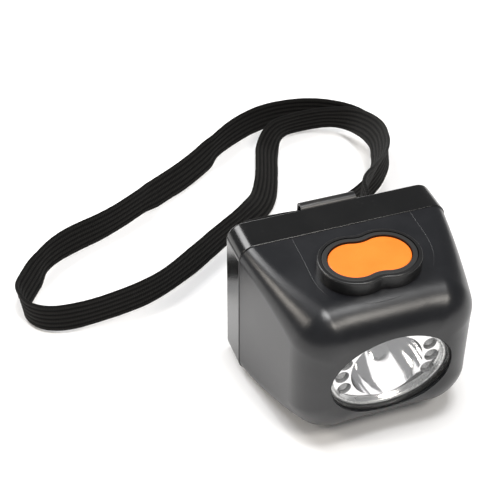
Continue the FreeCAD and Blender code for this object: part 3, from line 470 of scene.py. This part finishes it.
def knitted_elastic():
    """Black knitted elastic: rows of small stitches, with painted shade in the grooves and between
    stitches, painted highlights on the rib crests, and a little lint.
    """
    material, tree, shader = new_material("knitted elastic")
    place = tree.nodes.new("ShaderNodeUVMap")
    place.uv_map = "weave"
    parts = tree.nodes.new("ShaderNodeSeparateXYZ")
    join(tree, place.outputs[0], parts.inputs[0])
    across = maths(tree, "MULTIPLY", parts.outputs[0], 2 * math.pi / (STITCH_WIDTH * WEAVE_UNITS))
    along = maths(tree, "MULTIPLY", parts.outputs[1], 2 * math.pi / (STITCH_LENGTH * WEAVE_UNITS))
    slanted = maths(tree, "ADD", along, maths(tree, "MULTIPLY", maths(tree, "COSINE", across), 1.3))
    stitches = spread(tree, maths(tree, "SINE", slanted), -1.0, 1.0)
    fuzz = spots(tree, 3500.0, 2.0)
    height = maths(tree, "ADD", maths(tree, "MULTIPLY", stitches, 0.7), maths(tree, "MULTIPLY", fuzz, 0.5))
    ribs = maths(tree, "MULTIPLY", parts.outputs[0], math.pi * BAND_RIBS / (BAND_WIDTH * WEAVE_UNITS))
    ridge = maths(tree, "ABSOLUTE", maths(tree, "SINE", ribs))
    # Painted highlight and shade: the rib crests are made lighter and the grooves between them darker, as
    # light falls on the ribs.
    rib_highlight_groove_shade = maths(tree, "MULTIPLY_ADD", maths(tree, "POWER", ridge, 3.0), 0.8, 0.2)
    # The stitch rows add painted shade between the stitches as well.
    shade = maths(tree, "MULTIPLY", rib_highlight_groove_shade, maths(tree, "MULTIPLY_ADD", stitches, 0.7, 0.3))
    # The near-black colour is the painted groove shade and the lighter one the painted rib highlight.
    colour = mixed(tree, shade, (0.0012, 0.0012, 0.0013), (0.021, 0.020, 0.0185))
    lint = spread(tree, spots(tree, 1500.0, 2.0), 0.68, 0.76)
    join(tree, mixed(tree, maths(tree, "MULTIPLY", lint, 0.25), colour, (0.07, 0.065, 0.06)),
         shader.inputs["Base Color"])
    shader.inputs["Roughness"].default_value = 0.85
    shader.inputs["Specular IOR Level"].default_value = 0.12
    shader.inputs["Sheen Weight"].default_value = 0.03
    shader.inputs["Sheen Roughness"].default_value = 0.5
    bumped(tree, shader, height, 0.00016)
    return material


def mirror_chrome():
    """Metallised plastic: a bright bowl and floor, and a frosted rim round the oval."""
    centre_height, half_width, half_height = 0.0304, 0.02225, 0.01665
    material, tree, shader = new_material("metallised reflector")
    place = tree.nodes.new("ShaderNodeTexCoord").outputs["Object"]
    oval = tree.nodes.new("ShaderNodeMapping")
    oval.inputs["Location"].default_value = (0.0, 0.0, -centre_height / half_height)
    oval.inputs["Scale"].default_value = (1 / half_width, 0.0, 1 / half_height)
    join(tree, place, oval.inputs["Vector"])
    length = tree.nodes.new("ShaderNodeVectorMath")
    length.operation = "LENGTH"
    join(tree, oval.outputs[0], length.inputs[0])
    rim = spread(tree, length.outputs["Value"], 0.895, 0.925)
    mottled = spread(tree, spots(tree, 1500.0, 3.0), 0.35, 0.7)
    join(tree, spread(tree, rim, 0.0, 1.0, 0.10, 0.42), shader.inputs["Roughness"])
    frosted = mixed(tree, mottled, (0.42, 0.43, 0.43), (0.78, 0.78, 0.77))
    join(tree, mixed(tree, rim, (0.95, 0.95, 0.96), frosted), shader.inputs["Base Color"])
    shader.inputs["Metallic"].default_value = 1.0
    bumped(tree, shader, spots(tree, 90.0, 2.0), 0.00018)
    return material


def clear_window():
    """A thin polished window: it mirrors more at a slant and lets the rest through."""
    material, tree, shader = new_material("clear window")
    facing = tree.nodes.new("ShaderNodeLayerWeight")
    facing.inputs["Blend"].default_value = 0.5
    slant = maths(tree, "POWER", facing.outputs["Facing"], 5.0)
    smears = spread(tree, spots(tree, 60.0, 3.0), 0.5, 0.8, 0.0, 0.02)
    join(tree, maths(tree, "ADD", maths(tree, "MULTIPLY_ADD", slant, 0.9, 0.03), smears),
         shader.inputs["Alpha"])
    shader.inputs["Base Color"].default_value = (0.95, 0.96, 0.97, 1.0)
    shader.inputs["Metallic"].default_value = 1.0
    join(tree, spread(tree, smears, 0.0, 0.02, 0.01, 0.05), shader.inputs["Roughness"])
    return material


def frosted_led():
    """Grey moulded LED noses with a fine pearly grain."""
    material, tree, shader = new_material("small lamp epoxy")
    speckle = spread(tree, spots(tree, 2200.0, 3.0), 0.35, 0.7)
    join(tree, mixed(tree, speckle, (0.22, 0.22, 0.225), (0.46, 0.465, 0.47)), shader.inputs["Base Color"])
    join(tree, spread(tree, speckle, 0.0, 1.0, 0.35, 0.55), shader.inputs["Roughness"])
    bumped(tree, shader, speckle, 0.00008)
    return material


def circuit_board(name, mask, track):
    """Solder mask with fine tracks and pads."""
    material, tree, shader = new_material(name)
    node = placed_group(tree, BOARD, {"Mask": mask, "Track": track})
    join(tree, node.outputs["Colour"], shader.inputs["Base Color"])
    shader.inputs["Roughness"].default_value = 0.35
    bumped(tree, shader, node.outputs["Height"], 0.00003)
    return material


MATERIALS = {
    "housing_black": plastic("black satin housing", (0.0055, 0.0060, 0.0078), (0.015, 0.0155, 0.018), 0.30,
                             smear_share=0.5, depth=0.00001),
    "cover_black": plastic("black satin cover", (0.0030, 0.0031, 0.0034), (0.008, 0.008, 0.008), 0.20,
                           depth=0.00001),
    "bezel_black": plastic("black bezel", (0.006, 0.006, 0.0065), (0.018, 0.018, 0.018), 0.32),
    "seal_rubber": plastic("black rubber", (0.007, 0.007, 0.007), (0.02, 0.02, 0.02), 0.6, grain=4000.0,
                           depth=0.00003),
    "key_orange": plastic("orange key", (0.92, 0.185, 0.010), (0.98, 0.245, 0.02), 0.45, 0.5, grain=3200.0,
                          depth=0.00006),
    "pad_silicone": plastic("grey silicone", (0.55, 0.55, 0.52), (0.4, 0.4, 0.38), 0.5),
    "lens_clear": clear_window(),
    "reflector_chrome": mirror_chrome(),
    "led_package": plastic("yellow phosphor", (0.80, 0.66, 0.16), (0.86, 0.80, 0.45), 0.12, grain=6000.0),
    "led_epoxy": frosted_led(),
    "heat_sink_aluminium": metal("cast aluminium", (0.62, 0.63, 0.65), (0.4, 0.4, 0.4), 0.45),
    "board_green": circuit_board("green circuit board", (0.02, 0.12, 0.05), (0.30, 0.34, 0.16)),
    "board_white": circuit_board("white lamp board", (0.80, 0.80, 0.78), (0.55, 0.50, 0.35)),
    "chip_black": plastic("chip epoxy", (0.015, 0.015, 0.015), (0.04, 0.04, 0.04), 0.5),
    "coil_ferrite": plastic("ferrite", (0.05, 0.045, 0.045), (0.09, 0.09, 0.09), 0.6),
    "screw_steel": metal("bright steel", (0.42, 0.42, 0.44), (0.2, 0.18, 0.16), 0.28),
    "contact_brass": metal("plated brass", (0.70, 0.52, 0.22), (0.35, 0.25, 0.12), 0.25),
    "battery_sleeve": plastic("blue cell sleeve", (0.02, 0.09, 0.30), (0.05, 0.15, 0.38), 0.3),
    "cradle_plastic": plastic("black cradle", (0.02, 0.02, 0.022), (0.05, 0.05, 0.05), 0.45),
    "tab_nickel": metal("nickel strip", (0.66, 0.64, 0.60), (0.4, 0.38, 0.33), 0.3),
    "wire_red": plastic("red insulation", (0.50, 0.02, 0.02), (0.6, 0.08, 0.06), 0.4),
    "wire_black": plastic("black insulation", (0.015, 0.015, 0.015), (0.04, 0.04, 0.04), 0.4),
    "switch_plastic": plastic("switch body", (0.03, 0.03, 0.032), (0.07, 0.07, 0.07), 0.4),
    "clip_steel": plastic("black coated steel", (0.010, 0.010, 0.011), (0.05, 0.045, 0.04), 0.3, 0.5),
    "strap_elastic": knitted_elastic(),
}


def dress(thing, material):
    thing.data.materials.clear()
    thing.data.materials.append(material)


SLOT_OF = {entry["node"]: entry["material_slot"] for entry in frame["record"]["subparts"]}
for node_name, thing in NODES.items():
    dress(thing, MATERIALS[SLOT_OF[node_name]])
dress(headband, MATERIALS["strap_elastic"])
dress(clip_run, MATERIALS["strap_elastic"])
dress(insert_line, MATERIALS["housing_black"])
dress(scratch_line, MATERIALS["housing_black"])

# ---------------------------------------------------------------- floor and light

def make_floor():
    mesh = bpy.data.meshes.new("floor")
    reach = 4.0
    mesh.from_pydata([(-reach, -reach, 0), (reach, -reach, 0), (reach, reach, 0), (-reach, reach, 0)],
                     [], [(0, 1, 2, 3)])
    floor = link(mesh, "floor")
    material, tree, shader = new_material("white paper")
    shader.inputs["Base Color"].default_value = (0.97, 0.97, 0.975, 1.0)
    shader.inputs["Roughness"].default_value = 0.9
    shader.inputs["Specular IOR Level"].default_value = 0.1
    dress(floor, material)


def softbox(name, place, aim, size, power, colour=(1.0, 1.0, 1.0)):
    light = bpy.data.lights.new(name, "AREA")
    light.size = size
    light.energy = power
    light.color = colour
    box = link(light, name)
    box.location = place
    box.rotation_euler = (Vector(aim) - Vector(place)).to_track_quat("-Z", "Y").to_euler()


def set_world():
    world = bpy.data.worlds.new("studio")
    SCENE.world = world
    world.use_nodes = True
    background = world.node_tree.nodes["Background"]
    background.inputs["Color"].default_value = (1.0, 1.0, 1.0, 1.0)
    background.inputs["Strength"].default_value = 0.26


make_floor()
set_world()
softbox("overhead box", (0.10, -0.05, 1.2), (0.0, 0.0, 0.0), 0.42, 9.5)
softbox("rear left box", (-0.40, 0.78, 0.86), (0.0, 0.0, 0.03), 0.55, 9.5)
softbox("low left box", (-0.94, 0.28, 0.66), (0.0, 0.0, 0.03), 0.32, 4.0, (1.0, 0.93, 0.84))
softbox("front right box", (0.30, -0.62, 0.98), (0.0, 0.0, 0.03), 0.32, 4.6, (1.0, 0.95, 0.88))
SCENE.view_settings.view_transform = "Standard"
